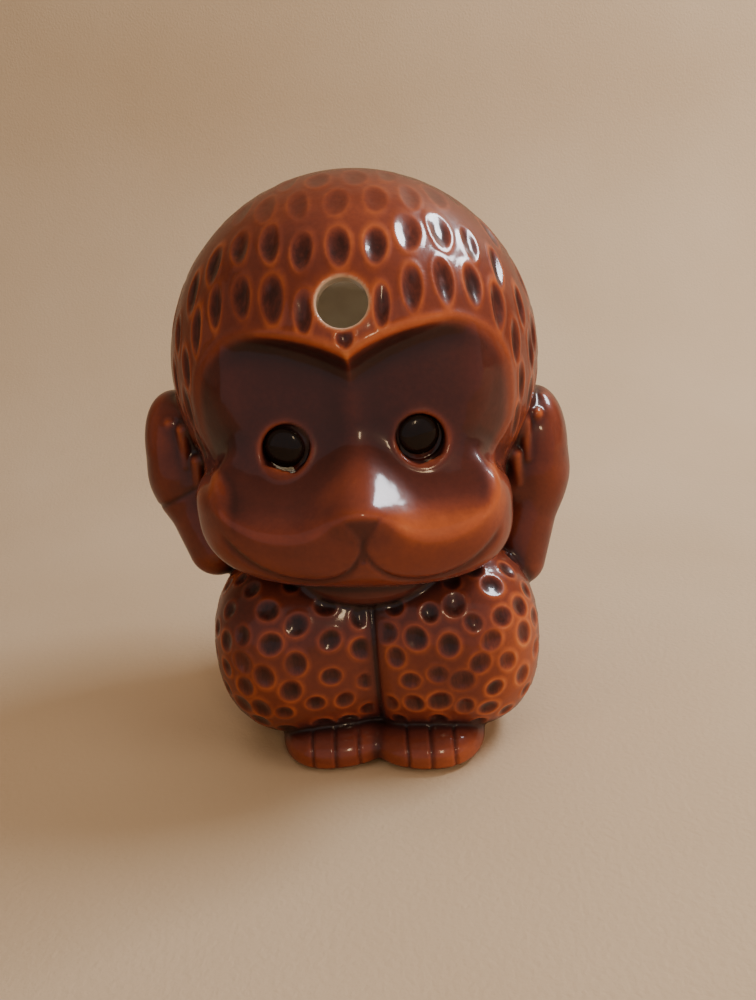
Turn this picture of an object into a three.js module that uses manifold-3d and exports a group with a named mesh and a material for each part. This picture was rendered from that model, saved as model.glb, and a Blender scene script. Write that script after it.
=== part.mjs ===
// A sitting monkey mug in glazed, slip-cast ceramic, with its hands over its ears.
// Head, body, arms, feet and eyes are cast one by one, then luted together and fired.
// Millimetres, +Z up, front towards -Y, origin in the middle of the flat base.
// Left and right are the monkey's own, so its left is +X.
import * as THREE from "three";
import { mergeVertices } from "three/addons/utils/BufferGeometryUtils.js";
import Module from "manifold-3d";

const wasm = await Module();
wasm.setup();

// Driving dimensions.
const HEIGHT = 140;
const WALL = 4;
const GAP = 0.3;
const DRINK_RADIUS = 22;
const DRINK_TILT = 32;
const DRINK_REACH = 60;
const STRAW_RADIUS = 5.55;
const STRAW_TILT = 20;
const EYE_RADIUS = 4.4;
const SIDES = [["left", 1], ["right", -1]];

// Head: a round cranium, a wide muzzle in front of it and two shallow bowls for the face.
const CRANIUM = { radius: 46.2, centre: [0, 0, HEIGHT - 46.2] };
const MUZZLE = { centre: [0, -24, 61.5], radii: [38, 29, 15.5] };
const NOSE = { centre: [0, -30.5, 68], radii: [15, 21.5, 11.5] };
const BOWL = { azimuth: 25, elevation: -8, distance: 49, radii: [21.5, 7, 21.5] };
const SOCKET = { x: 14.9, z: 80.8, floor: -36.6, mouth: -51 };
const EYE_RING = { radius: 6.3, front: -40.8, length: 5.4 };
const PUPIL = { face: -39.8, dome: 0.6 };
const STRAW_EXIT = { z: 111.2, length: 24 };

// The neck opening between head and body, cut straight up from below the cranium.
const NECK = { radius: 19, from: 40, length: 40 };

// Body: a barrel on a flat base, with two round knees drawn up in front below a collar.
// The barrel's outlines, outside and inside, are [radius, height] from the bottom up.
const BARREL = { centreY: 3, depth: 0.94 };
const BARREL_SKIN = [[28, 0], [34.5, 5], [37.5, 14], [38.5, 24], [37, 36], [34, 47], [30, 56]];
const BARREL_SPACE = [[24, 5], [32, 14], [34.5, 24], [33, 36], [21, 50], [21, 70]];
const KNEE_WALL = 5;
const KNEE = { centre: [18.6, -17, 26], radii: [23.4, 24, 24] };
const COLLAR = { centre: [0, -6, 43], radii: [34, 33, 9] };

// Feet: flat slabs with rounded plans and three grooves, a little inboard, that part four toes.
const FOOT = {
  x: 13.6, halfWidth: 12.9, front: -43.6, back: -20, height: 10.5, bevel: 3, bluntness: 0.8,
};
const TOE_GROOVE = { radius: 1, pitch: 5.7, inboard: 2 };

// Arms: a flat hand over each ear, four low fingers along its front edge and a bent forearm.
// Each finger is [x, y, z, half length], upright on the hand.
const HAND = { centre: [47.5, -2, 73], radii: [8.6, 14, 15.5] };
const FOREARM = { from: [46, -5, 65], to: [39, -9, 45], radius: 8.3 };
const FINGER_RADII = [1.9, 2.2];
const FINGERS = [[49.2, -7.4, 84.4, 2.2], [46.8, -11.8, 80.8, 2.6], [44, -12.4, 75.6, 6], [41.8, -12.4, 69, 4.6]];

const ROUND = 32;
const SMALL_ROUND = 18;

const DEG = Math.PI / 180;

// A closed geometry as a manifold solid.
function solid(geometry) {
  const bare = geometry.clone();
  bare.deleteAttribute("normal");
  bare.deleteAttribute("uv");
  const merged = mergeVertices(bare, 1e-4);
  return new wasm.Manifold(new wasm.Mesh({
    numProp: 3,
    vertProperties: new Float32Array(merged.attributes.position.array),
    triVerts: new Uint32Array(merged.index.array),
  }));
}

function join(solids) {
  return solids.reduce((whole, next) => whole.add(next));
}

// An ellipsoid, turned about the vertical through its centre by turn degrees.
function ellipsoid(centre, radii, segments = ROUND, turn = 0) {
  const geometry = new THREE.SphereGeometry(1, segments, Math.round(segments * 0.6));
  geometry.rotateX(Math.PI / 2);
  geometry.scale(...radii);
  geometry.rotateZ(turn * DEG);
  geometry.translate(...centre);
  return solid(geometry);
}

// An ellipsoid moved out by a distance all round.
function grown({ centre, radii, turn = 0 }, by, segments = ROUND) {
  return ellipsoid(centre, radii.map((r) => r + by), segments, turn);
}

function mirrored({ centre: [x, y, z], radii, turn = 0 }, side) {
  return { centre: [x * side, y, z], radii, turn: turn * side };
}

// A cylinder that starts at a point and runs along a direction.
function rod(start, direction, radius, length, segments = SMALL_ROUND) {
  const geometry = new THREE.CylinderGeometry(radius, radius, length, segments);
  geometry.translate(0, length / 2, 0);
  const up = new THREE.Vector3(0, 1, 0);
  const along = new THREE.Vector3(...direction).normalize();
  geometry.applyQuaternion(new THREE.Quaternion().setFromUnitVectors(up, along));
  geometry.translate(...start);
  return solid(geometry);
}

// A ball-ended bar between two points.
function capsule(from, to, radius) {
  const a = new THREE.Vector3(...from);
  const b = new THREE.Vector3(...to);
  const geometry = new THREE.CapsuleGeometry(radius, a.distanceTo(b), 4, SMALL_ROUND);
  const up = new THREE.Vector3(0, 1, 0);
  const along = b.clone().sub(a).normalize();
  geometry.applyQuaternion(new THREE.Quaternion().setFromUnitVectors(up, along));
  geometry.translate(...a.add(b).multiplyScalar(0.5).toArray());
  return solid(geometry);
}

// A turned shape from [radius, height] points, which start and end on the axis, lowest first.
function turned(points, segments = ROUND) {
  const profile = points.map(([r, h]) => new THREE.Vector2(r, h));
  const geometry = new THREE.LatheGeometry(profile, segments);
  geometry.rotateX(Math.PI / 2);
  return geometry;
}

function cranium(by = 0, segments = ROUND) {
  const radius = CRANIUM.radius + by;
  return ellipsoid(CRANIUM.centre, [radius, radius, radius], segments);
}

// The outside of the head before the face is hollowed, moved out by a distance all round.
function headSkin(by) {
  return join([cranium(by), grown(MUZZLE, by), grown(NOSE, by, SMALL_ROUND)]);
}

// One bowl of the face, moved out by a distance all round.
function faceBowl(side, by = 0) {
  const azimuth = BOWL.azimuth * DEG;
  const elevation = BOWL.elevation * DEG;
  const out = new THREE.Vector3(
    side * Math.sin(azimuth) * Math.cos(elevation),
    -Math.cos(azimuth) * Math.cos(elevation),
    Math.sin(elevation),
  ).multiplyScalar(BOWL.distance);
  const centre = out.add(new THREE.Vector3(...CRANIUM.centre)).toArray();
  return grown({ centre, radii: BOWL.radii, turn: BOWL.azimuth * side }, by);
}

// The raised ring round an eye, as a short plain bush along Y.
function eyeRing(side) {
  const start = [side * SOCKET.x, EYE_RING.front, SOCKET.z];
  return rod(start, [0, 1, 0], EYE_RING.radius, EYE_RING.length);
}

function eyeSocket(side) {
  const start = [side * SOCKET.x, SOCKET.mouth, SOCKET.z];
  return rod(start, [0, 1, 0], EYE_RADIUS + GAP, SOCKET.floor - SOCKET.mouth);
}

// The round opening at the top and back of the head that the mug is filled and drunk from.
function drinkOpening() {
  const lean = DRINK_TILT * DEG;
  const direction = [0, Math.sin(lean), Math.cos(lean)];
  return rod(CRANIUM.centre, direction, DRINK_RADIUS, DRINK_REACH, ROUND);
}

// The straw hole in the forehead, which slopes down into the cavity.
function strawHole() {
  const lean = STRAW_TILT * DEG;
  const direction = [0, Math.cos(lean), -Math.sin(lean)];
  const reach = STRAW_EXIT.length / 2;
  const surfaceY = -Math.sqrt(CRANIUM.radius ** 2 - (STRAW_EXIT.z - CRANIUM.centre[2]) ** 2);
  const start = [0, surfaceY - direction[1] * reach, STRAW_EXIT.z - direction[2] * reach];
  return rod(start, direction, STRAW_RADIUS, STRAW_EXIT.length);
}

function headShell() {
  const sides = SIDES.map(([, side]) => side);
  const inside = cranium(-WALL, SMALL_ROUND).add(grown(MUZZLE, -WALL, SMALL_ROUND));
  const cavity = inside.subtract(join(sides.map((side) => faceBowl(side, WALL))));
  const outside = headSkin(0).subtract(join(sides.map((side) => faceBowl(side))));
  const neck = rod([0, 0, NECK.from], [0, 0, 1], NECK.radius, NECK.length, ROUND);
  return outside
    .add(join(sides.map(eyeRing)))
    .subtract(cavity)
    .subtract(neck)
    .subtract(drinkOpening())
    .subtract(strawHole())
    .subtract(join(sides.map(eyeSocket)));
}

// A barrel inside a wall outline, closed flat at both ends.
function barrel(wall, segments) {
  const bottom = [0, wall[0][1]];
  const top = [0, wall[wall.length - 1][1]];
  const geometry = turned([bottom, ...wall, top], segments);
  geometry.scale(1, BARREL.depth, 1);
  geometry.translate(0, BARREL.centreY, 0);
  return solid(geometry);
}

// The outside of the body before the head is seated, moved out by a distance all round.
function bodySkin(by) {
  const wall = BARREL_SKIN.map(([radius, height]) => [radius + by, height]);
  wall[0][1] -= by;
  wall[wall.length - 1][1] += by;
  const knees = SIDES.map(([, side]) => grown(mirrored(KNEE, side), by));
  return join([barrel(wall, ROUND), grown(COLLAR, by), ...knees]);
}

// The drink's space in the body, open at the neck.
function bodyCavity() {
  const knees = SIDES.map(([, side]) => grown(mirrored(KNEE, side), -KNEE_WALL, SMALL_ROUND));
  return join([barrel(BARREL_SPACE, SMALL_ROUND), ...knees]);
}

function bodyShell() {
  return bodySkin(0).subtract(bodyCavity()).subtract(headSkin(GAP));
}

function foot(side) {
  const half = FOOT.halfWidth - FOOT.bevel;
  const nose = half * FOOT.bluntness;
  const front = FOOT.front + FOOT.bevel;
  const shape = new THREE.Shape();
  shape.moveTo(-half, FOOT.back);
  shape.lineTo(-half, front + nose);
  shape.absellipse(0, front + nose, half, nose, Math.PI, 2 * Math.PI, false, 0);
  shape.lineTo(half, FOOT.back);
  shape.closePath();
  const slab = new THREE.ExtrudeGeometry(shape, {
    depth: FOOT.height - 2 * FOOT.bevel,
    bevelThickness: FOOT.bevel,
    bevelSize: FOOT.bevel,
    bevelSegments: 2,
    curveSegments: 9,
  });
  slab.translate(side * FOOT.x, 0, FOOT.bevel);
  const grooves = [-1, 0, 1].map((step) => {
    const across = step * TOE_GROOVE.pitch - side * TOE_GROOVE.inboard;
    const bow = 1 - Math.sqrt(1 - (across / FOOT.halfWidth) ** 2);
    const y = FOOT.front + bow * (nose + FOOT.bevel);
    return rod([side * FOOT.x + across, y, -1], [0, 0, 1], TOE_GROOVE.radius, FOOT.height + 2, 8);
  });
  return solid(slab).subtract(join(grooves)).subtract(bodySkin(GAP));
}

function arm(side) {
  const across = ([x, y, z]) => [x * side, y, z];
  const palm = grown(mirrored(HAND, side), 0, SMALL_ROUND);
  const forearm = capsule(across(FOREARM.from), across(FOREARM.to), FOREARM.radius);
  const fingers = FINGERS.map(([x, y, z, half]) => (
    ellipsoid(across([x, y, z]), [...FINGER_RADII, half], 12)
  ));
  return join([palm, forearm, ...fingers]).subtract(headSkin(GAP)).subtract(bodySkin(GAP));
}

// A black glazed pupil: a plug that stops just short of the socket floor, with a domed face.
function eye(side) {
  const back = SOCKET.floor - GAP;
  const depth = back - PUPIL.face;
  const plug = turned([
    [0, 0],
    [EYE_RADIUS, 0],
    [EYE_RADIUS, depth],
    [EYE_RADIUS * 0.7, depth + PUPIL.dome * 0.7],
    [0, depth + PUPIL.dome],
  ], SMALL_ROUND);
  plug.rotateX(Math.PI / 2);
  plug.translate(side * SOCKET.x, back, SOCKET.z);
  return solid(plug);
}

const brownGlaze = { color: 0x8c3d1c, roughness: 0.18, metalness: 0 };
const blackGlaze = { color: 0x14100e, roughness: 0.08, metalness: 0 };

// A named mesh of a manifold solid.
function piece(name, made, finish) {
  const { vertProperties, triVerts } = made.getMesh();
  const geometry = new THREE.BufferGeometry();
  geometry.setAttribute("position", new THREE.BufferAttribute(vertProperties, 3));
  geometry.setIndex(new THREE.BufferAttribute(triVerts, 1));
  geometry.computeVertexNormals();
  const mesh = new THREE.Mesh(geometry, new THREE.MeshStandardMaterial(finish));
  mesh.name = name;
  return mesh;
}

const mug = new THREE.Group();
mug.name = "monkey_mug";
mug.add(piece("head_shell", headShell(), brownGlaze));
mug.add(piece("body_shell", bodyShell(), brownGlaze));
for (const [name, side] of SIDES) {
  mug.add(piece(`${name}_arm`, arm(side), brownGlaze));
  mug.add(piece(`${name}_foot`, foot(side), brownGlaze));
  mug.add(piece(`${name}_eye`, eye(side), blackGlaze));
}

export default mug;
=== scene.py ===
"""A sitting monkey mug in brown glazed ceramic, sculpted round the CAD frame.

The form is one distance field in millimetres, in the CAD's frame: +Z up, face towards -Y.
Each CAD node gets its own closed mesh of that field, and the meshes share one unbroken skin.
Small relief (fur dimples, mouth, toes) moves the finished vertices along their normals.
"""

import math
from concurrent.futures import ThreadPoolExecutor

import bpy
import numpy as np
import openvdb as vdb
from mathutils import Matrix, Vector


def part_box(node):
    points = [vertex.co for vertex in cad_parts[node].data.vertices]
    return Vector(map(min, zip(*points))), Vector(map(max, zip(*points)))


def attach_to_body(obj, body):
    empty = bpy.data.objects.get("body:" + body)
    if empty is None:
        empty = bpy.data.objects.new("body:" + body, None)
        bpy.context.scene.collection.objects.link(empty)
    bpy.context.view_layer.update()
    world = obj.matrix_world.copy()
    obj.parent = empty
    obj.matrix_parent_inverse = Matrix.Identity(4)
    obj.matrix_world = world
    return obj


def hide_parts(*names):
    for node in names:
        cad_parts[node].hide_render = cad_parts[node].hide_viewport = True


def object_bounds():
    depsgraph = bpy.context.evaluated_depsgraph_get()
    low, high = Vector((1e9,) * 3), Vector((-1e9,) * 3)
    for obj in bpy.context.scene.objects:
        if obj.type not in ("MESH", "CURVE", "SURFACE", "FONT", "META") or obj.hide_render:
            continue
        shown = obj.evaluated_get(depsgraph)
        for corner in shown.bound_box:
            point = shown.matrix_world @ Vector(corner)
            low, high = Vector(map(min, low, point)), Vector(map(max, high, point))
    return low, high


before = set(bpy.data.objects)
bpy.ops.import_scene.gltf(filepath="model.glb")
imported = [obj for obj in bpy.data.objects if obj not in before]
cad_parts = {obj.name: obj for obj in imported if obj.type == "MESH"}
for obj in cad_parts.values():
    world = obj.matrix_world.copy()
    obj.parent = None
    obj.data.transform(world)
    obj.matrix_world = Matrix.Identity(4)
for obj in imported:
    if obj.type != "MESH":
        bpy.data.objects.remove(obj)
CAD_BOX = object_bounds()

# ---------------------------------------------------------------- sizes taken from the frame
MODEL_HEIGHT = 140.0
SCALE = (CAD_BOX[1][2] - CAD_BOX[0][2]) * 1000 / MODEL_HEIGHT
TO_METRES = SCALE * 0.001


def box_mm(node):
    """Lowest and highest corner of a CAD node in sculpting millimetres."""
    low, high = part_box(node)
    return np.array(low) / TO_METRES, np.array(high) / TO_METRES


def middle_mm(node):
    low, high = box_mm(node)
    return (low + high) / 2


HEAD_TOP = box_mm("head_shell")[1][2]
EYE_MIDDLE = middle_mm("left_eye")

CRANIUM_R = 0.33 * MODEL_HEIGHT
CRANIUM = np.array([0.0, 0.0, HEAD_TOP - CRANIUM_R])
WALL = 4.0

# Meshing: fine grid pitch, fine cells along a coarse one, points per thread, room round a node.
VOXEL = 0.5
COARSE = 4
CHUNK = 60000
MARGIN = 4.0

# Tables keyed by side: 1 is the figure's own left (+X), -1 its right.

# Head
MUZZLE_C = (-1.7, -24, 64)
MUZZLE_R = (36.6, 27.9, 17.2)
MUZZLE_TOP = (17.5, 12.0)
MUZZLE_ROLL = 0.064
NOSE_C = (0, -45, 69)
NOSE_R = (6.2, 7.6, 5.0)
DISH_PEAK = (20.5, 87.5)
DISH_RX = (28.8, 15.2)
DISH_RZ = (36.0, 18.1)
STRAW_R = 5.3
STRAW_LEAN = math.radians(20)
STRAW_Z = 111.2
STRAW_HALF = 14
DRINK_R = 22.0
DRINK_LEAN = math.radians(32)
DRINK_OUT = 40
DRINK_HALF = 38
SOCKET_R = 5.3
SOCKET_HALF = 1.6

# Body
BARREL_C = (0, 3, 30)
BARREL_R = (38.5, 36, 40)
KNEE_C = (19.0, -17.2, 26.4)
KNEE_LEAN = (1.4, 1.2)
KNEE_R = (22.5, 23.6, 24)
KNEE_INNER = 0.65
CHEST_C = (0, -6, 46)
CHEST_R = (29, 33, 12)
FOOT_C = (12.7, -27.5, 3.4)
FOOT_R = (13.0, 14.6, 7.0)
FOOT_REACH = {1: 3.2, -1: 0.2}
FOOT_INNER = 0.75

# Arms, on the +X side. Each finger is (tip, root), along the middle of a low ridge on the palm.
PALM_C = (48.0, -1.5, 71)
PALM_R = (8.0, 13, 16.5)
WRIST = (46.2, -5, 65)
ELBOW = {1: (41.0, -9, 43.4), -1: (40.0, -9, 46.4)}
FOREARM_R = (8.6, 7.6)
PALM_EDGE = ((42.3, -8.4, 82), (40.6, -8.8, 64))
FINGER_R = (1.7, 1.0)
FINGERS = [
    ((48.8, -7.0, 84.6), (50.0, -5.6, 85.0)),
    ((46.7, -11.6, 82.0), (47.0, -11.3, 78.6)),
    ((43.4, -13.1, 80.6), (44.1, -13.2, 71.6)),
    ((40.9, -13.4, 72.6), (41.8, -13.2, 65.4)),
]
FINGER_LIFT = {1: 0.0, -1: -1.5}
ARM_LIFT = {1: -3.5, -1: 2.8}
ARM_OUT = {1: -2.6, -1: 0.4}
SIDES = {"left": 1, "right": -1}
EYE_R = 4.55
EYE_TURN = math.radians(13)
EYE_TILT = math.radians(-4)
EYE_RING_R = 5.9
EYE_SPREAD = {1: -0.6, -1: 0.6}
EYE_SHIFT = {1: (-0.1, 0, 0.6), -1: (-0.6, 0, 0)}
EYE_SINK = 1.3
EYE_DOME = 1.7
EYE_BACK = 0.6

# Surface marks. FUR_DEPTH and PIT_DEPTH are (depth, rim height).
FUR_PITCH = 8.6
FUR_HALF_LENGTH = 4.9
FUR_DEPTH = (0.6, 0.14)
BROW_MARK_EL = math.radians(13)
BROW_MARK_R = (1.8, 2.9)
PIT_RADIUS = 2.3
PIT_PITCH = 5.6
PIT_DEPTH = (0.55, 0.12)
TOE_MIDDLE = 11.6
TOE_PITCH = 5.7
STRAND_PITCH = 1.9

# How far each drawn line moves the skin out, in millimetres, and how much it lightens the glaze.
LINE_MOVE = {
    "lips": -0.5, "under_nose": -0.4, "crease": -0.5, "brow": 0.3,
    "toes": -0.75, "strands": 0.05, "wrist": -0.25, "eye_ring": 0.25,
}
LINE_TONE = {
    "lips": -0.22, "under_nose": -0.16, "crease": -0.15,
    "toes": -0.2, "wrist": -0.2, "eye_ring": 0.12, "bore": -0.3,
}

# The places of the pits in the body's fur, picked by build_shell from the body's own skin.
BODY_MARKS = []

# What each glazed vertex carries, and the directions that fullness() looks in.
# The glaze value carries painted light and shade besides the glaze's own tone.
SHELL_VALUES = ("glaze", "liner", "clay", "mark", "coat")
CORNERS = [(a, b, c) for a in (-1, 1) for b in (-1, 1) for c in (-1, 1)]
DIRECTIONS = np.vstack([np.eye(3), -np.eye(3), np.array(CORNERS) / math.sqrt(3)])


# ---------------------------------------------------------------- distance field tools
def moved(p, centre):
    return p[0] - centre[0], p[1] - centre[1], p[2] - centre[2]


def length(x, y, z):
    return np.sqrt(x * x + y * y + z * z)


def ellipsoid(p, centre, radii):
    x, y, z = moved(p, centre)
    a, b, c = radii
    near = length(x / a, y / b, z / c)
    slope = length(x / a**2, y / b**2, z / c**2)
    return near * (near - 1) / np.maximum(slope, 1e-6)


def pillow(p, centre, radii, power):
    """A superellipsoid: fuller than an ellipsoid for powers above 2."""
    x, y, z = (np.abs(v) / r for v, r in zip(moved(p, centre), radii))
    size = np.maximum((x**power + y**power + z**power) ** (1 / power), 0.2)
    a, b, c = radii
    slope = length(x ** (power - 1) / a, y ** (power - 1) / b, z ** (power - 1) / c)
    return (size - 1) / np.maximum(slope * size ** (1 - power), 1e-3)


def round_cone(p, start, end, r_start, r_end):
    x, y, z = moved(p, start)
    d = np.subtract(end, start)
    t = np.clip((x * d[0] + y * d[1] + z * d[2]) / (d @ d), 0, 1)
    return length(x - t * d[0], y - t * d[1], z - t * d[2]) - (r_start + (r_end - r_start) * t)


def rod(p, middle, axis, radius, half):
    """A cylinder with flat ends."""
    x, y, z = moved(p, middle)
    along = x * axis[0] + y * axis[1] + z * axis[2]
    across = np.sqrt(np.maximum(x * x + y * y + z * z - along * along, 0))
    return np.maximum(across - radius, np.abs(along) - half)


def join(a, b, k):
    """Union with a soft fillet of width k."""
    h = np.maximum(k - np.abs(a - b), 0) / k
    return np.minimum(a, b) - h * h * k / 4


def overlap(a, b, k):
    return -join(-a, -b, k)


def carve(a, b, k):
    return -join(-a, b, k)


def smooth(value, start, end):
    t = np.clip((value - start) / (end - start), 0, 1)
    return t * t * (3 - 2 * t)


def bump(value, width):
    return np.exp(-((value / width) ** 2))


# ---------------------------------------------------------------- the forms
def dish_outline(p):
    """Distance from the heart-shaped edge of the face, seen from the front; negative inside."""
    x, z = np.abs(p[0]) - DISH_PEAK[0], p[2] - DISH_PEAK[1]
    a = np.where(x < 0, DISH_RX[0], DISH_RX[1])
    c = np.where(z < 0, DISH_RZ[0], DISH_RZ[1])
    near = np.sqrt((x / a) ** 2 + (z / c) ** 2)
    slope = np.sqrt((x / a**2) ** 2 + (z / c**2) ** 2)
    heart = near * (near - 1) / np.maximum(slope, 1e-4)
    half_width = 29 + 7.5 * smooth(p[2], 72, 84)
    return overlap(heart, 0.9 * (np.abs(p[0]) - half_width), 4)


def dish_wall(p):
    """The sloping side of the sunk face, falling in from its outline."""
    x, y, z = p
    skin_y = -np.sqrt(np.maximum(CRANIUM_R**2 - x * x - (z - CRANIUM[2]) ** 2, 400))
    return 0.92 * dish_outline(p) + 0.36 * np.maximum(y - skin_y, -3)


def muzzle_ridge(x):
    """Height of the crest where the sunk face turns over on to the front of the muzzle."""
    return 64.6 + 5.2 * bump(x, 9) + 0.02 * np.clip(np.abs(x) - 18, 0, 16) ** 2 - MUZZLE_ROLL * x


def dish_floor(x, z):
    """The Y of the sunk face: a bowl round each eye that runs forward on to the muzzle and nose."""
    bowl = -38.3 + 0.0012 * np.maximum(np.abs(x) - 12, 0) ** 2.6 + 0.004 * np.maximum(z - 88, 0) ** 2
    fall = np.maximum(86 - z, 0) / (86 - muzzle_ridge(x))
    drop = np.maximum(86 - z, 0) / 18.5
    nose = bump(x, 3.4 + 5.2 * np.minimum(drop, 1) ** 1.5) * (0.9 + 4.8 * np.minimum(drop, 1.2) ** 1.6)
    return bowl - 12.8 * fall**2.4 - nose * smooth(-z, -108, -92)


def head_form(p):
    """A round cranium with a muzzle pillow and a nose, and the sunk face cut into them."""
    x, y, z = p
    cranium = length(*moved(p, CRANIUM)) - CRANIUM_R
    above = z - 0.001 * x * x + MUZZLE_ROLL * x - MUZZLE_C[2]
    top = MUZZLE_TOP[0] + (MUZZLE_TOP[1] - MUZZLE_TOP[0]) * smooth(np.abs(x), 26, 35)
    height = np.where(above > 0, MUZZLE_R[2] / top, 1.0)
    muzzle = pillow((x, y, MUZZLE_C[2] + above * height), MUZZLE_C, MUZZLE_R, 3.0)
    tip = ellipsoid(p, NOSE_C, NOSE_R)
    head = join(join(cranium, muzzle, 5), tip, 4)
    dish = overlap(dish_wall(p), y - dish_floor(x, z), 3.5)
    return carve(head, dish, 1.4 + smooth(-z, -80, -70) * (1.8 + 3.4 * bump(x, 17)))


def body_form(p):
    """Barrel, knees and the chest that shows as a collar under the chin."""
    barrel = ellipsoid(p, BARREL_C, BARREL_R)
    chest = ellipsoid(p, CHEST_C, CHEST_R)
    return join(join(barrel, knee_form(p), 4), chest, 1.2)


def knee_form(p):
    """Both bent legs: two pillows, fuller towards each other so that they meet in a crease."""
    x = np.abs(p[0]) - KNEE_C[0]
    x = np.where(x < 0, KNEE_INNER * x, x)
    lean = smooth(p[0], -4, 4)
    q = (x + KNEE_C[0], p[1] + KNEE_LEAN[0] * lean, p[2] + KNEE_LEAN[1] * lean)
    return pillow(q, KNEE_C, KNEE_R, 2.4)


def foot_form(p, side):
    """A foot, reaching forward by its own amount and fuller towards the other foot."""
    half_reach = FOOT_REACH[side] / 2
    centre = (0, FOOT_C[1] - half_reach, FOOT_C[2])
    radii = (FOOT_R[0], FOOT_R[1] + half_reach, FOOT_R[2])
    across = p[0] * side - FOOT_C[0]
    across = np.where(across < 0, FOOT_INNER * across, across)
    return pillow((across, p[1], p[2]), centre, radii, 2.2)


def arm_form(p, side):
    """A hand laid over the ear, its forearm and four low fingers, shifted to its side's place."""
    q = (p[0] * side - ARM_OUT[side], p[1], p[2] - ARM_LIFT[side])
    arm = join(pillow(q, PALM_C, PALM_R, 2.3), round_cone(q, WRIST, ELBOW[side], *FOREARM_R), 4)
    arm = join(arm, round_cone(q, *PALM_EDGE, 4.4, 4.6), 3)
    q = (q[0], q[1], q[2] - FINGER_LIFT[side])
    for tip, root in FINGERS:
        arm = join(arm, round_cone(q, tip, root, *FINGER_R), 0.9)
    return arm


def straw_axis():
    return np.array([0, math.cos(STRAW_LEAN), -math.sin(STRAW_LEAN)])


def straw_mouth():
    z = STRAW_Z - CRANIUM[2]
    return np.array([0, -math.sqrt(CRANIUM_R**2 - z**2), STRAW_Z])


def drink_axis():
    return np.array([0, math.sin(DRINK_LEAN), math.cos(DRINK_LEAN)])


def straw_rod(p):
    return rod(p, straw_mouth(), straw_axis(), STRAW_R, STRAW_HALF)


def drink_rod(p):
    return rod(p, CRANIUM + DRINK_OUT * drink_axis(), drink_axis(), DRINK_R, DRINK_HALF)


PARTS = {
    "head": head_form,
    "body": body_form,
    "left_arm": lambda p: arm_form(p, 1),
    "right_arm": lambda p: arm_form(p, -1),
    "left_foot": lambda p: foot_form(p, 1),
    "right_foot": lambda p: foot_form(p, -1),
}
SEAM = {"body": 2.0, "left_arm": 1.6, "right_arm": 1.6, "left_foot": 1.2, "right_foot": 1.2}


def room_form(own):
    """The hollow inside."""
    return join(own["head"] + WALL, own["body"] + WALL, 3)


def fields(p):
    """The whole mug's field, and each part's own."""
    own = {name: form(p) for name, form in PARTS.items()}
    skin = own["head"]
    for name, k in SEAM.items():
        skin = join(skin, own[name], k)
    mug = overlap(skin, -room_form(own), 1.0)
    mug = carve(mug, drink_rod(p), 3.0)
    mug = carve(mug, straw_rod(p), 0.6)
    for side in SIDES.values():
        mug = carve(mug, eye_socket(p, side), 0.8)
    return overlap(mug, -p[2], 2.5), own


def piece_field(name, p):
    """One part's closed body: its own share of the mug, tucked 1 mm under its neighbours."""
    mug, own = fields(p)
    others = np.minimum.reduce([own[n] for n in own if n != name])
    past = (own[name] - others) / 2
    return np.maximum(mug + 0.6 * np.maximum(past, 0) ** 2, past - 1.0)


def eye_axis(side):
    """The way an eye looks: forward, turned a little outward and down."""
    level = math.cos(EYE_TILT)
    return np.array([side * math.sin(EYE_TURN) * level, -math.cos(EYE_TURN) * level, math.sin(EYE_TILT)])


def eye_place(side):
    """The middle of an eye on the sunk face."""
    x, z = side * (EYE_MIDDLE[0] + EYE_SPREAD[side]), EYE_MIDDLE[2]
    return np.array([x, float(dish_floor(x, z)), z])


def eye_socket(p, side):
    return rod(p, eye_place(side), eye_axis(side), SOCKET_R, SOCKET_HALF)


# ---------------------------------------------------------------- meshing
def by_chunks(function, points):
    """function over a 3 x N array of points, in parallel, results joined along the last axis."""
    count = max(1, points.shape[1] // CHUNK)
    with ThreadPoolExecutor() as pool:
        results = list(pool.map(function, np.array_split(points, count, axis=1)))
    return np.concatenate(results, axis=-1)


def gradient(field, p):
    """Central differences of a field, as a 3 x N array."""
    rows = []
    for axis in np.eye(3) * 0.15:
        step = axis[:, None]
        rows.append((field(p + step) - field(p - step)) / 0.3)
    return np.array(rows)


def grid_of(field, low, high, voxel):
    """Field values on a fine grid, worked out only close to the surface."""
    step = voxel * COARSE
    count = np.ceil((high - low) / step).astype(int)
    axes = [low[i] + step * np.arange(count[i]) + 1.5 * voxel for i in range(3)]
    centres = np.array(np.meshgrid(*axes, indexing="ij"))
    coarse = by_chunks(field, centres.reshape(3, -1)).reshape(count)
    near = np.argwhere(np.abs(coarse) < 5 * voxel)
    outside = np.where(coarse > 0, 3 * voxel, -3 * voxel)
    shape = [count[0], COARSE, count[1], COARSE, count[2], COARSE]
    fine = np.broadcast_to(outside[:, None, :, None, :, None], shape).copy()
    inner = np.array(np.meshgrid(*[np.arange(COARSE)] * 3, indexing="ij")).reshape(3, -1)
    corner = low[:, None] + near.T * step
    points = (corner[:, :, None] + inner[:, None, :] * voxel).reshape(3, -1)
    values = by_chunks(field, points).reshape(-1, COARSE, COARSE, COARSE)
    i, j, k = near.T
    fine[i, :, j, :, k, :] = values
    return fine.reshape(count * COARSE)


def surface(field, low, high, voxel):
    """Vertices (3 x N) and quads of the field's zero surface."""
    values = grid_of(field, low, high, voxel)
    grid = vdb.FloatGrid(background=3 * voxel)
    grid.copyFromArray(np.clip(values, -3 * voxel, 3 * voxel).astype(np.float32))
    points, quads = grid.convertToQuads(isovalue=0.0)
    p = low[:, None] + points.T.astype(float) * voxel
    for _ in range(2):
        p = by_chunks(lambda q: settled(field, q, voxel), p)
    return p, quads[:, ::-1].astype(int)


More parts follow.
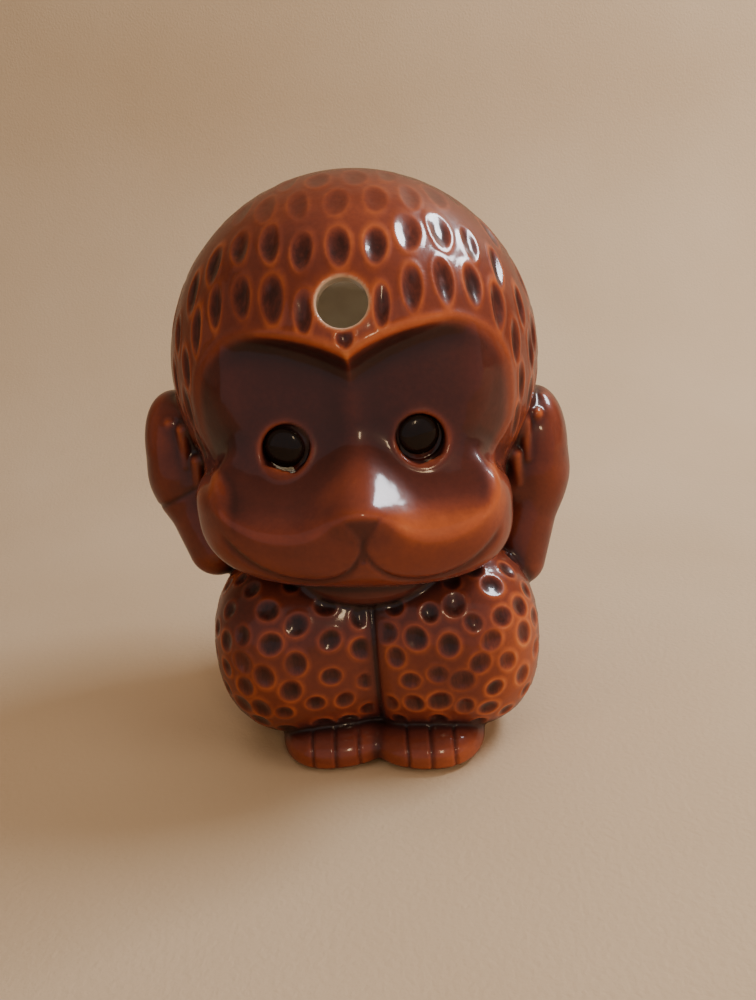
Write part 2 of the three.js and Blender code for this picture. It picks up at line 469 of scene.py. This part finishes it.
def settled(field, p, voxel):
    """Points moved along the slope on to the zero surface."""
    slope = gradient(field, p)
    step = field(p) / np.maximum((slope**2).sum(0), 0.1)
    return p - slope * np.clip(step, -voxel, voxel)


# ---------------------------------------------------------------- relief
def fur_rows():
    """The fur's scooped marks on the cranium: (azimuth, elevation, half width), degrees and mm."""
    marks = [(0, 37.5, 2.4)]
    front = [
        (10.5, 20, 1.8), (20, 24, 2.4), (30.5, 25, 2.4), (40.5, 23, 2.2), (48.5, 16.5, 2.0), (54, 6, 1.8),
        (57, -6, 1.7), (58, -18, 1.7),
        (12, 37, 2.4), (24.5, 40.5, 2.5), (37.5, 40, 2.4), (48, 35, 2.2), (56, 27, 2.1), (62, 15, 2.0),
        (65, 2, 2.0), (67, -12, 2.0),
    ]
    for azimuth, elevation, width in front:
        marks += [(azimuth, elevation, width), (-azimuth, elevation, width)]
    for row, elevation in enumerate((54, 68)):
        marks += ring_marks(elevation, 0, 360, row)
    for row, elevation in enumerate((38, 22, 6, -10, -26, -40)):
        marks += ring_marks(elevation, 70, 290, row)
    return marks


def ring_marks(elevation, start, end, row):
    """Evenly spaced marks round one latitude, each row staggered against the last."""
    pitch = FUR_PITCH / (CRANIUM_R * math.cos(math.radians(elevation)))
    count = round(math.radians(end - start) / pitch)
    step = (end - start) / count
    return [(start + step * (i + 0.5 * (row % 2)), elevation, 2.4) for i in range(count)]


def fur(p):
    """How far each point is from the nearest fur mark's middle, 1 at the mark's edge."""
    x, y, z = moved(p, CRANIUM)
    azimuth = np.arctan2(x, -y)
    elevation = np.arcsin(np.clip(z / np.maximum(length(x, y, z), 1e-6), -1, 1))
    nearest = np.full(x.shape, 9.0)
    for number, (az, el, half_width) in enumerate(FUR_MARKS):
        turn = (azimuth - math.radians(az) + math.pi) % (2 * math.pi) - math.pi
        u = CRANIUM_R * math.cos(math.radians(el)) * turn
        v = CRANIUM_R * (elevation - math.radians(el))
        lean = math.sin(math.radians(el)) * math.sin(math.radians(az)) + 0.08 * math.sin(7.1 * number)
        along = u * math.sin(lean) + v * math.cos(lean)
        across = u * math.cos(lean) - v * math.sin(lean)
        wide = half_width * (1 + 0.1 * math.sin(3.7 * number)) * (1 + 0.03 * np.clip(along, -6, 6))
        tall = FUR_HALF_LENGTH * (1 + 0.07 * math.sin(5.1 * number))
        nearest = np.minimum(nearest, np.sqrt((across / wide) ** 2 + (along / tall) ** 2))
    return np.where(y < 0, np.minimum(nearest, brow_mark(x, elevation)), nearest)


def brow_mark(x, elevation):
    """The same for the one short mark above the point of the brow."""
    across = x / BROW_MARK_R[0]
    along = CRANIUM_R * (elevation - BROW_MARK_EL) / BROW_MARK_R[1]
    return np.sqrt(across * across + along * along)


def spaced_points(p, pitch):
    """Points picked one after another, each the farthest from all the ones before."""
    nearest = np.full(p.shape[1], 1e9)
    picked = []
    pick = int(np.argmax(p[2]))
    while nearest.max() > pitch or not picked:
        picked.append(p[:, pick])
        nearest = np.minimum(nearest, ((p - p[:, pick : pick + 1]) ** 2).sum(0) ** 0.5)
        pick = int(np.argmax(nearest))
    return np.array(picked)


def pit_room(p):
    """Where a pit's middle may lie: on the body's skin, clear of its seams, crease and chest."""
    own = fields(p)[1]
    others = np.minimum.reduce([own[n] for n in own if n != "body"])
    crease = (np.abs(p[0]) < 2.4) & (p[1] < -10)
    below = np.minimum(knee_form(p), ellipsoid(p, BARREL_C, BARREL_R))
    chest = ellipsoid(p, CHEST_C, CHEST_R) < below + 0.5
    return (np.abs(own["body"]) < 0.3) & (others > 1.6) & (p[2] > 6.5) & ~crease & ~chest


def pits(p):
    """How far each point is from the nearest pit in the body's fur, 1 at its edge."""
    nearest = np.full(p.shape[1], 1e9)
    for number, spot in enumerate(BODY_MARKS):
        size = PIT_RADIUS * (1 + 0.13 * math.sin(5.3 * number))
        way = np.array([math.cos(2.3 * number), 0.0, math.sin(2.3 * number)])
        offset = p - spot[:, None]
        nearest = np.minimum(nearest, ((offset**2).sum(0) - 0.25 * (way @ offset) ** 2) / size**2)
    return np.sqrt(nearest)


def scoop(distance, depth, rim):
    """A round-bottomed hollow of unit radius with a low raised rim."""
    return -depth * smooth(-distance, -1.1, -0.2) + rim * bump(distance - 1.15, 0.2)


def smile_height(p):
    """How far each point lies above the smile line."""
    x = np.abs(p[0])
    return p[2] + MUZZLE_ROLL * p[0] - 52.4 - 0.028 * (x - 11.5) ** 2 - 5 * np.exp(-x / 2.5)


def mouth(p):
    """Smile line and lip cleft: 1 in the groove."""
    x, z = np.abs(p[0]), p[2]
    steep = np.sqrt(1 + (0.056 * (x - 11.5)) ** 2)
    smile = bump(smile_height(p) / steep, 0.9) * smooth(-x, -31, -28.5)
    cleft = bump(x, 0.7) * smooth(z, 57, 58.5) * smooth(-z, -63.5, -61.5)
    return np.maximum(smile, cleft)


def under_nose(p):
    """The shallow three-cornered hollow below the nose, 1 inside."""
    half_width = 0.7 * (p[2] - 61.8)
    inside = smooth(half_width - np.abs(p[0] - 0.4), -0.6, 0.8)
    return inside * smooth(p[2], 61, 63) * smooth(-p[2], -68.5, -66.5)


def leads(own):
    """How far each part's skin stands proud of the nearest other part's, by name."""
    return {n: np.minimum.reduce([own[m] for m in own if m != n]) - own[n] for n in own}


def crown_fur(p, lead):
    """1 where the head has fur: the cranium clear of the face, the hands and both openings."""
    y, z = p[1], p[2]
    below = 40 * (z < 95)
    straw = distance_to_line(p, straw_mouth(), straw_axis())
    drink = distance_to_line(p, CRANIUM, drink_axis()) + below
    crown = smooth(lead["head"], 0.5, 3) * smooth(z, 52, 56)
    crown = crown * np.maximum(smooth(dish_outline(p), 0.8, 2.0), smooth(y, -14, -8))
    crown = crown * np.maximum(smooth(z, 70, 76), smooth(y, -16, -8))
    crown = crown * smooth(straw, STRAW_R + 0.6, STRAW_R + 1.6)
    crown = crown * smooth(drink, DRINK_R + 3, DRINK_R + 6)
    return crown * (1 - 0.65 * smooth(z, 121, 130))


def collar_area(p):
    """1 where the chest shows between the knees and the chin."""
    chest = ellipsoid(p, CHEST_C, CHEST_R)
    before_barrel = smooth(ellipsoid(p, BARREL_C, BARREL_R) - chest, -0.5, 0.5)
    return before_barrel * smooth(knee_form(p) - chest, -0.3, 0.5)


def body_fur(p, lead, chest):
    """1 where the body has fur: its skin clear of the seams, the crease and the collar."""
    coat = smooth(lead["body"], 0.5, 2.0) * smooth(p[2], 3, 7) * (1 - chest)
    return coat * np.maximum(smooth(np.abs(p[0]), 1, 3), smooth(p[1], 0, 10))


def leg_crease(p, lead, chest):
    """The line between the two legs."""
    height = smooth(-p[1], 30, 34) * smooth(p[2], 8, 12)
    return bump(p[0], 0.6) * height * smooth(lead["body"], 0.3, 1.5) * (1 - chest)


def toe_lines(p, lead):
    """Three short grooves on each foot, which part its four toes."""
    x, y, z = p
    toes = np.zeros_like(x)
    for side in SIDES.values():
        for k in (-1, 0, 1):
            toes = np.maximum(toes, bump(x - side * TOE_MIDDLE - k * TOE_PITCH, 0.36))
    feet = smooth(np.maximum(lead["left_foot"], lead["right_foot"]), 0, 1)
    return toes * feet * smooth(-y, 34, 40) * smooth(z, 0.5, 2)


def collar_strands(p, lead, chest):
    """Fine level ripples of hair on the collar, from -1 to 1."""
    strands = np.sin(2 * math.pi * (p[2] - 0.012 * p[0] ** 2) / STRAND_PITCH)
    return strands * smooth(lead["body"], 0, 1.5) * chest


def wrist_line(p, lead):
    """The crease across the right wrist."""
    across = p[2] - 58.8 - 0.4545 * (54 - np.abs(p[0]))
    return bump(across - ARM_LIFT[-1], 0.7) * smooth(lead["right_arm"], 0, 1)


def eye_rings(p):
    """The raised ring round each eye socket."""
    ring = np.zeros_like(p[0])
    for side in SIDES.values():
        away = distance_to_line(p, eye_place(side), eye_axis(side)) - EYE_RING_R
        ring = np.maximum(ring, bump(away, 0.6))
    return ring * smooth(-p[1], 25, 30)


def straw_distance(p):
    """How far each point is outside the wall of the straw hole."""
    return distance_to_line(p, straw_mouth(), straw_axis()) - STRAW_R


def drawn_lines(p, lead, chest):
    """The strength of every drawn line, by the names in LINE_MOVE and LINE_TONE."""
    y, z = p[1], p[2]
    return {
        "lips": mouth(p) * smooth(lead["head"], 0, 2) * smooth(-y, 25, 32),
        "under_nose": under_nose(p) * smooth(-y, 45, 48),
        "crease": leg_crease(p, lead, chest),
        "brow": bump(dish_outline(p) - 1.0, 1.0) * smooth(-y, 22, 30) * smooth(z, 66, 74),
        "toes": toe_lines(p, lead),
        "strands": collar_strands(p, lead, chest),
        "wrist": wrist_line(p, lead),
        "eye_ring": eye_rings(p),
        "bore": smooth(-straw_distance(p), -0.1, 0.1) * smooth(-y, 25, 30),
    }


def tone_with_painted_light(p, lead, brow):
    """Slow changes in the glaze colour, most of them painted light and shade: darker over the sunk face,
    painted shade towards -X on the face and the muzzle's crest, painted light towards +X on the brow lip,
    the crest and the legs, darker high on the legs partly as painted shade under the chin and partly as
    thick glaze, and a little lighter on top of the head.
    """
    x, y, z = p
    front = smooth(-y, 22, 30)
    sunk = smooth(-dish_outline(p), 0.0, 2.2) * front * smooth(z, 64, 70)
    crest = bump(z - muzzle_ridge(x), 4.5) * smooth(-y, 38, 44)
    legs = smooth(lead["body"], 0, 1.5) * front
    # Painted highlight along the brow lip on its +X side, fading to nothing towards -X.
    tone = (0.15 - 0.16 * smooth(-x, 0, 14)) * brow
    # Darker over the sunk face, and darker still towards -X as painted shade.
    tone = tone - (0.23 + 0.04 * smooth(-x, -6, 14)) * sunk
    # Painted light on the +X side of the muzzle's crest, painted shade on its -X side.
    tone = tone + (0.14 * smooth(x, 0, 10) - 0.11 * smooth(-x, 2, 14)) * crest
    # Painted light on the +X side of the legs; darker high on the legs, partly painted shade under the
    # chin and partly thick glaze.
    tone = tone + (0.16 * smooth(x, 20, 36) - 0.16 * smooth(z, 26, 42)) * legs
    return tone + 0.06 * smooth(z, 118, 134) - 0.08


def relief(p, own):
    """How far each point moves out, its glaze tone with painted light and shade, the fur's marks and coat,
    and the straw's rim.
    """
    lead = leads(own)
    chest = collar_area(p)
    crown = crown_fur(p, lead)
    coat = body_fur(p, lead, chest)
    fur_distance = fur(p)
    pit_distance = pits(p)
    lines = drawn_lines(p, lead, chest)
    move = scoop(fur_distance, *FUR_DEPTH) * crown + scoop(pit_distance, *PIT_DEPTH) * coat
    move = move + sum(amount * lines[name] for name, amount in LINE_MOVE.items())
    tone = tone_with_painted_light(p, lead, lines["brow"])
    tone = tone + sum(amount * lines[name] for name, amount in LINE_TONE.items())
    marks = np.minimum(np.where(crown > coat, fur_distance, pit_distance), 2.0)
    rim = bump(straw_distance(p) - 0.1, 0.28) * smooth(-p[1], 25, 30)
    return move, tone, marks, np.maximum(crown, coat), rim


def distance_to_line(p, start, axis):
    """How far each point is from the line through start along a unit axis."""
    x, y, z = moved(p, start)
    along = x * axis[0] + y * axis[1] + z * axis[2]
    return np.sqrt(np.maximum(x * x + y * y + z * z - along * along, 0))


def in_socket(p):
    """1 in the eye sockets, 0 elsewhere."""
    inside = np.zeros_like(p[0])
    for side in SIDES.values():
        axis = eye_axis(side)
        x, y, z = moved(p, eye_place(side))
        depth = -(x * axis[0] + y * axis[1] + z * axis[2])
        across = distance_to_line(p, eye_place(side), axis)
        inside = np.maximum(inside, smooth(-across, -6.4, -5.8) * smooth(-depth, -2.6, -2.1))
    return inside


def mug_field(p):
    return fields(p)[0]


def fullness(p, reach):
    """Above 0 on crests and below 0 in creases: the mean field a short way off in 14 directions."""
    total = 0
    for direction in DIRECTIONS:
        total = total + mug_field(p + reach * direction[:, None])
    return total / len(DIRECTIONS) / reach


def dressed(name, p):
    """Vertices with their relief, and the values that the materials read, in SHELL_VALUES' order."""
    def work(q):
        own = fields(q)[1]
        normal = gradient(mug_field, q)
        normal = normal / np.maximum(np.sqrt((normal**2).sum(0)), 1e-6)
        socket = in_socket(q)
        outer = np.maximum(smooth(room_form(own), 0.5, 1.8), socket)
        move, tone, marks, coat, rim = relief(q, own)
        crest = 1.0 * fullness(q, 1.2) + 0.9 * fullness(q, 3.2)
        base = smooth(-normal[2], 0.9, 0.99) * smooth(-q[2], -0.5, -0.1)
        # The glaze value holds the glaze's own tone and, through tone, the painted light and shade.
        glaze = 0.5 + tone * outer + crest - 0.2 * socket * smooth(-fullness(q, 2.0), -0.1, 0.1)
        liner = np.maximum(1 - outer, 0.6 * rim)
        return np.vstack([q + normal * move * outer * (1 - base), glaze, liner, base, marks, coat * outer])
    return by_chunks(work, p)


# ---------------------------------------------------------------- pieces
def new_object(name, vertices, faces, material):
    """A smooth-shaded mesh object from millimetre vertices (N x 3)."""
    mesh = bpy.data.meshes.new(name)
    mesh.vertices.add(len(vertices))
    mesh.vertices.foreach_set("co", (vertices * TO_METRES).astype(np.float32).ravel())
    sides = faces.shape[1]
    mesh.loops.add(faces.size)
    mesh.loops.foreach_set("vertex_index", faces.astype(np.int32).ravel())
    mesh.polygons.add(len(faces))
    mesh.polygons.foreach_set("loop_start", np.arange(0, faces.size, sides, dtype=np.int32))
    mesh.update(calc_edges=True)
    mesh.shade_smooth()
    mesh.materials.append(material)
    item = bpy.data.objects.new(name, mesh)
    bpy.context.scene.collection.objects.link(item)
    return item


def attach(item, node):
    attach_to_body(item, "root")
    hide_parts(node)


def write_attribute(mesh, name, values):
    mesh.attributes.new(name, "FLOAT", "POINT").data.foreach_set("value", values.astype(np.float32))


def build_shell(part, node, material):
    """One glazed part of the figure, closed and with its relief."""
    low, high = box_mm(node)
    field = lambda p: piece_field(part, p)
    points, quads = surface(field, low - MARGIN, high + MARGIN, VOXEL)
    if part == "body":
        BODY_MARKS.extend(spaced_points(points[:, pit_room(points)][:, ::4], PIT_PITCH))
    rows = dressed(part, points)
    item = new_object(f"glazed_{node}", rows[:3].T, quads, material)
    for name, values in zip(SHELL_VALUES, rows[3:]):
        write_attribute(item.data, name, values)
    attach(item, node)
    return item


def build_eye(side_name, material):
    """The black glazed disc in one eye: a domed, round-edged button."""
    side = SIDES[side_name]
    axis = Vector(eye_axis(side))
    middle = Vector(eye_place(side)) - axis * EYE_SINK + Vector(EYE_SHIFT[side])
    across = axis.cross(Vector((0, 0, 1))).normalized()
    upward = across.cross(axis)
    rings, spokes = 14, 64
    vertices = [middle + axis * EYE_DOME]
    for i in range(1, rings + 1):
        turn = math.pi * i / (rings + 1)
        radius = EYE_R * math.sin(turn) ** 0.8
        height = (EYE_DOME if turn < math.pi / 2 else EYE_BACK) * math.cos(turn)
        for j in range(spokes):
            angle = 2 * math.pi * j / spokes
            outward = across * math.cos(angle) + upward * math.sin(angle)
            vertices.append(middle + axis * height + outward * radius)
    vertices.append(middle - axis * EYE_BACK)
    faces = []
    for j in range(spokes):
        k = (j + 1) % spokes
        faces.append((0, 1 + k, 1 + j))
        for i in range(rings - 1):
            a, b = 1 + i * spokes, 1 + (i + 1) * spokes
            faces += [(a + j, a + k, b + k), (a + j, b + k, b + j)]
        last = 1 + (rings - 1) * spokes
        faces.append((last + j, last + k, len(vertices) - 1))
    item = new_object(f"glazed_{side_name}_eye", np.array(vertices), np.array(faces), material)
    attach(item, f"{side_name}_eye")
    return item


# ---------------------------------------------------------------- materials
# The colour sockets of a Mix node, which shares its names with the sockets of other types.
MIX_A = 6
MIX_B = 7
MIX_RESULT = 2


def srgb(red, green, blue):
    """A colour given as 0-255 screen values, as linear RGBA."""
    channels = []
    for value in (red, green, blue):
        v = value / 255
        channels.append(v / 12.92 if v <= 0.04045 else ((v + 0.055) / 1.055) ** 2.4)
    return (*channels, 1.0)


class Nodes:
    """Short calls for a material's node tree."""

    def __init__(self, name):
        self.material = bpy.data.materials.new(name)
        self.material.use_nodes = True
        self.tree = self.material.node_tree
        self.shader = self.tree.nodes["Principled BSDF"]
        self.place = self.add("ShaderNodeTexCoord").outputs["Object"]

    def add(self, kind, **settings):
        node = self.tree.nodes.new(kind)
        for key, value in settings.items():
            setattr(node, key, value)
        return node

    def plug(self, value, socket):
        if isinstance(value, bpy.types.NodeSocket):
            self.tree.links.new(value, socket)
        else:
            socket.default_value = value

    def stretched(self, *scale):
        node = self.add("ShaderNodeMapping")
        self.plug(self.place, node.inputs["Vector"])
        self.plug(scale, node.inputs["Scale"])
        return node.outputs["Vector"]

    def noise(self, scale, detail=3.0, roughness=0.5, place=None):
        node = self.add("ShaderNodeTexNoise")
        self.plug(place or self.place, node.inputs["Vector"])
        self.plug(scale, node.inputs["Scale"])
        self.plug(detail, node.inputs["Detail"])
        self.plug(roughness, node.inputs["Roughness"])
        return node.outputs["Fac"]

    def read(self, name):
        return self.add("ShaderNodeAttribute", attribute_name=name).outputs["Fac"]

    def math(self, operation, a, b, c=0.0):
        node = self.add("ShaderNodeMath", operation=operation)
        for value, socket in zip((a, b, c), node.inputs):
            self.plug(value, socket)
        return node.outputs[0]

    def sway(self, value, texture, amount):
        """value plus the texture's swing about its middle, times amount."""
        return self.math("MULTIPLY_ADD", self.math("SUBTRACT", texture, 0.5), amount, value)

    def ramp(self, value, stops):
        node = self.add("ShaderNodeValToRGB")
        elements = node.color_ramp.elements
        while len(elements) < len(stops):
            elements.new(0.5)
        for element, (position, colour) in zip(elements, stops):
            element.position = position
            element.color = colour
        self.plug(value, node.inputs["Fac"])
        return node.outputs["Color"]

    def mix(self, factor, a, b):
        node = self.add("ShaderNodeMix", data_type="RGBA")
        self.plug(factor, node.inputs["Factor"])
        self.plug(a, node.inputs[MIX_A])
        self.plug(b, node.inputs[MIX_B])
        return node.outputs[MIX_RESULT]

    def bump(self, height, distance, strength=1.0, normal=None):
        node = self.add("ShaderNodeBump")
        self.plug(height, node.inputs["Height"])
        self.plug(distance, node.inputs["Distance"])
        self.plug(strength, node.inputs["Strength"])
        if normal is not None:
            self.plug(normal, node.inputs["Normal"])
        return node.outputs["Normal"]

    def finish(self, **inputs):
        for name, value in inputs.items():
            self.plug(value, self.shader.inputs[name.replace("_", " ")])
        return self.material


def brown_glaze():
    """Runny red-brown glaze: amber where thin on crests, near-black maroon where it pools, with the
    painted light and shade carried by the glaze value laid over it.

    The same material shows the cream liner inside and bare clay on the underside.
    """
    n = Nodes("brown_glaze")
    clouds = n.noise(55, 4, 0.55)
    specks = n.noise(900, 2, 0.6)
    # The glaze value read here holds painted light and shade as well as the glaze's own depth.
    depth = n.sway(n.sway(n.read("glaze"), clouds, 0.30), specks, 0.10)
    mark = n.math("MULTIPLY", n.read("mark"), 0.5)
    streaks = n.noise(900, 3, 0.6, n.stretched(1, 1, 0.16))
    inside = n.math("MULTIPLY", n.ramp(mark, grey_stops(MARK_INSIDE)), n.read("coat"))
    uneven = n.math("MULTIPLY", n.read("coat"), n.sway(0.85, n.noise(110, 2), 2.2))
    depth = n.sway(depth, n.ramp(mark, grey_stops(MARK_TONES)), uneven)
    depth = n.sway(depth, streaks, n.math("MULTIPLY", inside, 0.5))
    colour = n.ramp(depth, GLAZE_STOPS)
    liner = n.mix(n.noise(160), LINER_LIGHT, LINER_DARK)
    clay = n.mix(n.noise(260, 5, 0.7), CLAY_LIGHT, CLAY_DARK)
    colour = n.mix(n.read("liner"), colour, liner)
    colour = n.mix(n.read("clay"), colour, clay)
    waves = n.bump(n.noise(130, 2, 0.4), 0.00025)
    skin = n.bump(n.noise(1400, 2, 0.5), 0.00002, normal=waves)
    gloss = n.sway(0.09, n.noise(90), 0.06)
    matt = n.math("MAXIMUM", gloss, n.math("MULTIPLY", n.read("clay"), 0.8))
    return n.finish(
        Base_Color=colour,
        Roughness=n.math("ADD", matt, 0.22),
        Coat_Weight=n.math("SUBTRACT", 1.0, n.read("clay")),
        Coat_Roughness=matt,
        Coat_IOR=1.45,
        Specular_IOR_Level=0.2,
        Normal=skin,
        Coat_Normal=waves,
    )


def black_glaze():
    """Black pupil glaze with a faint brown bloom."""
    n = Nodes("black_glaze")
    colour = n.mix(n.noise(400, 4), srgb(10, 7, 6), srgb(34, 20, 13))
    return n.finish(
        Base_Color=colour,
        Roughness=n.sway(0.25, n.noise(700), 0.1),
        Specular_IOR_Level=0.15,
        Coat_Weight=0.7,
        Coat_IOR=1.4,
        Coat_Roughness=0.03,
        Normal=n.bump(n.noise(500, 2), 0.00008),
    )


def backdrop_paint():
    """Pale matt studio paper with a faint warm mottle; in the glaze's reflections it turns dark brown, a
    painted reflection of a dim room.
    """
    n = Nodes("studio_paper")
    colour = n.mix(n.noise(9, 4), srgb(214, 190, 160), srgb(196, 168, 134))
    # Painted reflection: glossy rays see the paper mixed towards dark brown.
    seen_in_glaze = n.add("ShaderNodeLightPath").outputs["Is Glossy Ray"]
    colour = n.mix(n.math("MULTIPLY", seen_in_glaze, 0.65), colour, srgb(84, 60, 50))
    return n.finish(
        Base_Color=colour,
        Roughness=0.85,
        Normal=n.bump(n.noise(700, 4), 0.0002),
    )


def grey_stops(stops):
    """Colour ramp stops from plain numbers."""
    return [(position, (value, value, value, 1.0)) for position, value in stops]


GLAZE_STOPS = [
    (0.0, srgb(38, 21, 21)),
    (0.22, srgb(66, 32, 29)),
    (0.42, srgb(98, 46, 37)),
    (0.60, srgb(132, 62, 42)),
    (0.80, srgb(180, 91, 50)),
    (1.0, srgb(210, 132, 76)),
]
# Both run over half of a mark's distance, which is 0.5 at the mark's edge.
# A tone of 0.5 leaves the glaze as it is.
MARK_TONES = [
    (0.0, 0.16), (0.25, 0.2), (0.41, 0.38), (0.49, 0.58),
    (0.56, 0.71), (0.66, 0.61), (0.8, 0.5), (1.0, 0.5),
]
MARK_INSIDE = [(0.0, 1.0), (0.40, 1.0), (0.50, 0.0), (1.0, 0.0)]
LINER_LIGHT = srgb(238, 228, 208)
LINER_DARK = srgb(218, 204, 178)
CLAY_LIGHT = srgb(222, 208, 184)
CLAY_DARK = srgb(198, 180, 152)


# ---------------------------------------------------------------- studio
CAMERA_PLACE = (8.4, -208.5, 119.6)
CAMERA_ANGLES = (-1.56, 17.0, 4.9)
CAMERA_LENS = 28.8

# Name, place, target, size, power, colour, and whether the glaze mirrors it. Metres and watts.
LIGHTS = [
    ("window", (0.52, 0.14, 0.66), (0, 0, 0.08), (0.32, 0.17), 5.5, (0.88, 0.94, 1.0), True),
    ("lamp", (0.08, -0.33, 0.22), (0, 0, 0.07), (0.03, 0.07), 0.13, (1.0, 0.72, 0.42), True),
    ("fill", (-0.75, -0.55, 0.62), (0, 0, 0.07), (0.3, 0.3), 1.1, (1.0, 0.82, 0.62), False),
    ("overhead", (-0.1, -0.1, 1.5), (0, 0, 0.05), (1.2, 1.2), 6.0, (1.0, 0.90, 0.80), False),
    ("side", (0.75, -0.35, 0.22), (0, 0, 0.06), (0.4, 0.4), 3.2, (1.0, 0.84, 0.66), False),
]


def build_sweep():
    """A pale floor that curves up into a backdrop behind the mug."""
    half_width, front, back, rise, bend = 1.6, -1.4, 0.16, 1.5, 0.22
    path = [(front, 0.0)]
    steps = 16
    for i in range(steps + 1):
        turn = math.pi / 2 * i / steps
        path.append((back + bend * math.sin(turn), bend * (1 - math.cos(turn))))
    path.append((back + bend, rise))
    vertices = [(x, y, z) for y, z in path for x in (-half_width, half_width)]
    faces = [(2 * i, 2 * i + 1, 2 * i + 3, 2 * i + 2) for i in range(len(path) - 1)]
    item = new_object("studio_sweep", np.array(vertices) / TO_METRES, np.array(faces), backdrop_paint())


def build_room_card():
    """A dim grey card in front of the mug that glows and is seen only in reflections: a painted reflection
    of the dark room that the glaze mirrors.
    """
    card = bpy.data.materials.new("grey_card")
    card.use_nodes = True
    shader = card.node_tree.nodes["Principled BSDF"]
    shader.inputs["Base Color"].default_value = (0, 0, 0, 1)
    shader.inputs["Specular IOR Level"].default_value = 0
    shader.inputs["Emission Color"].default_value = (0.95, 0.84, 0.84, 1)
    shader.inputs["Emission Strength"].default_value = 0.33
    corners = [(-0.5, -0.27, 0.001), (0.5, -0.27, 0.001), (0.5, -0.5, 0.55), (-0.5, -0.5, 0.55)]
    item = new_object("grey_card", np.array(corners) / TO_METRES, np.array([(0, 1, 2, 3)]), card)
    item.visible_camera = False
    item.visible_diffuse = False
    item.visible_shadow = False


def add_light(name, place, target, size, power, colour, mirrored):
    data = bpy.data.lights.new(name, "AREA")
    data.shape = "RECTANGLE"
    data.size, data.size_y = size
    data.energy = power
    data.color = colour
    light = bpy.data.objects.new(name, data)
    light.location = place
    light.rotation_euler = (Vector(target) - Vector(place)).to_track_quat("-Z", "Y").to_euler()
    light.visible_glossy = mirrored
    bpy.context.scene.collection.objects.link(light)


def add_camera():
    """The main view: from the front, looking down and rolled a little."""
    pan, pitch, roll = (math.radians(v) for v in CAMERA_ANGLES)
    forward = Vector((math.sin(pan) * math.cos(pitch), math.cos(pan) * math.cos(pitch), -math.sin(pitch)))
    right = Vector((math.cos(pan), -math.sin(pan), 0))
    up = right.cross(forward)
    turned_right = right * math.cos(roll) - up * math.sin(roll)
    turned_up = right * math.sin(roll) + up * math.cos(roll)
    data = bpy.data.cameras.new("camera")
    data.lens = CAMERA_LENS
    data.clip_start = 0.01
    camera = bpy.data.objects.new("camera", data)
    axes = Matrix((turned_right, turned_up, -forward)).transposed()
    camera.matrix_world = Matrix.Translation(Vector(CAMERA_PLACE) * TO_METRES) @ axes.to_4x4()
    bpy.context.scene.collection.objects.link(camera)
    bpy.context.scene.camera = camera


def add_world():
    """A dim warm surround, brighter in what the camera sees directly."""
    world = bpy.data.worlds.new("studio")
    world.use_nodes = True
    background = world.node_tree.nodes["Background"]
    background.inputs["Strength"].default_value = 0.26
    seen = world.node_tree.nodes.new("ShaderNodeLightPath").outputs["Is Camera Ray"]
    blend = world.node_tree.nodes.new("ShaderNodeMix")
    blend.data_type = "RGBA"
    blend.inputs[MIX_A].default_value = (0.62, 0.47, 0.35, 1)
    blend.inputs[MIX_B].default_value = (1.9, 1.45, 1.05, 1)
    world.node_tree.links.new(seen, blend.inputs["Factor"])
    world.node_tree.links.new(blend.outputs[MIX_RESULT], background.inputs["Color"])
    bpy.context.scene.world = world


FUR_MARKS = fur_rows()
brown = brown_glaze()
black = black_glaze()
for part in ("body", "head"):
    build_shell(part, f"{part}_shell", brown)
for side_name in SIDES:
    build_shell(f"{side_name}_arm", f"{side_name}_arm", brown)
    build_shell(f"{side_name}_foot", f"{side_name}_foot", brown)
    build_eye(side_name, black)

build_sweep()
for light_settings in LIGHTS:
    add_light(*light_settings)
build_room_card()
add_world()
add_camera()
